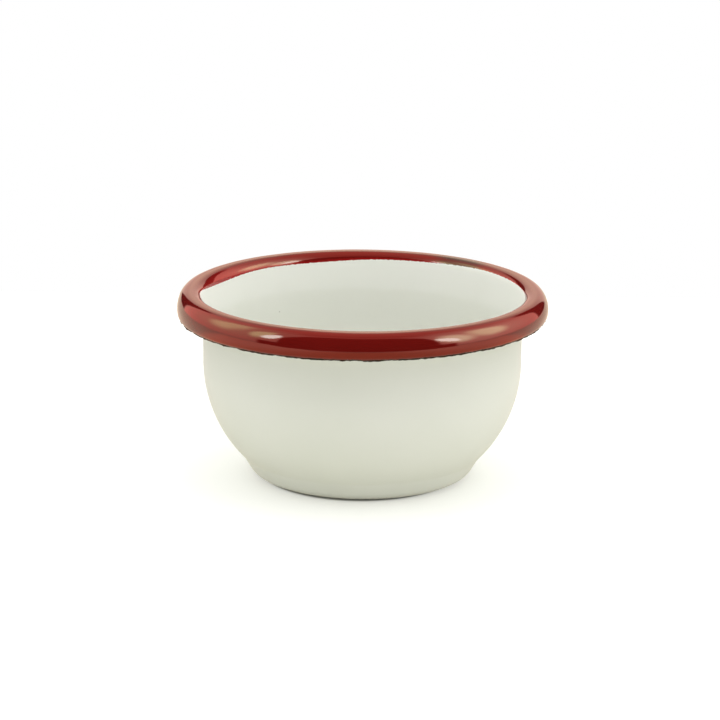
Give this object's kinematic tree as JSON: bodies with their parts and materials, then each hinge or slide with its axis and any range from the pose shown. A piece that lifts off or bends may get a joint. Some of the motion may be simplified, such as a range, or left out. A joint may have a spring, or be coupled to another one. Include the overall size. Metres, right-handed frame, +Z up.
{
  "type": "enamel dip bowl",
  "caption": "Small round enamelled steel bowl with a stepped foot, straight upper wall and rolled red rim, for dips and sauces.",
  "frame": {"origin": "middle of the flat base, on the surface that the bowl stands on", "axes": "+Z up along the bowl's axis; the bowl is round, so X and Y are free"},
  "size_m": [0.08, 0.08, 0.041],
  "materials": {
    "steel": "matte",
    "ground_enamel": "satin",
    "white_enamel": "satin gloss",
    "red_enamel": "gloss"
  },
  "bodies": {
    "root": {"steel_shell": "steel", "ground_coat_inside": "ground_enamel", "ground_coat_outside": "ground_enamel", "white_coat_inside": "white_enamel", "white_coat_outside": "white_enamel", "red_rim_coat": "red_enamel"}
  },
  "joints": []
}
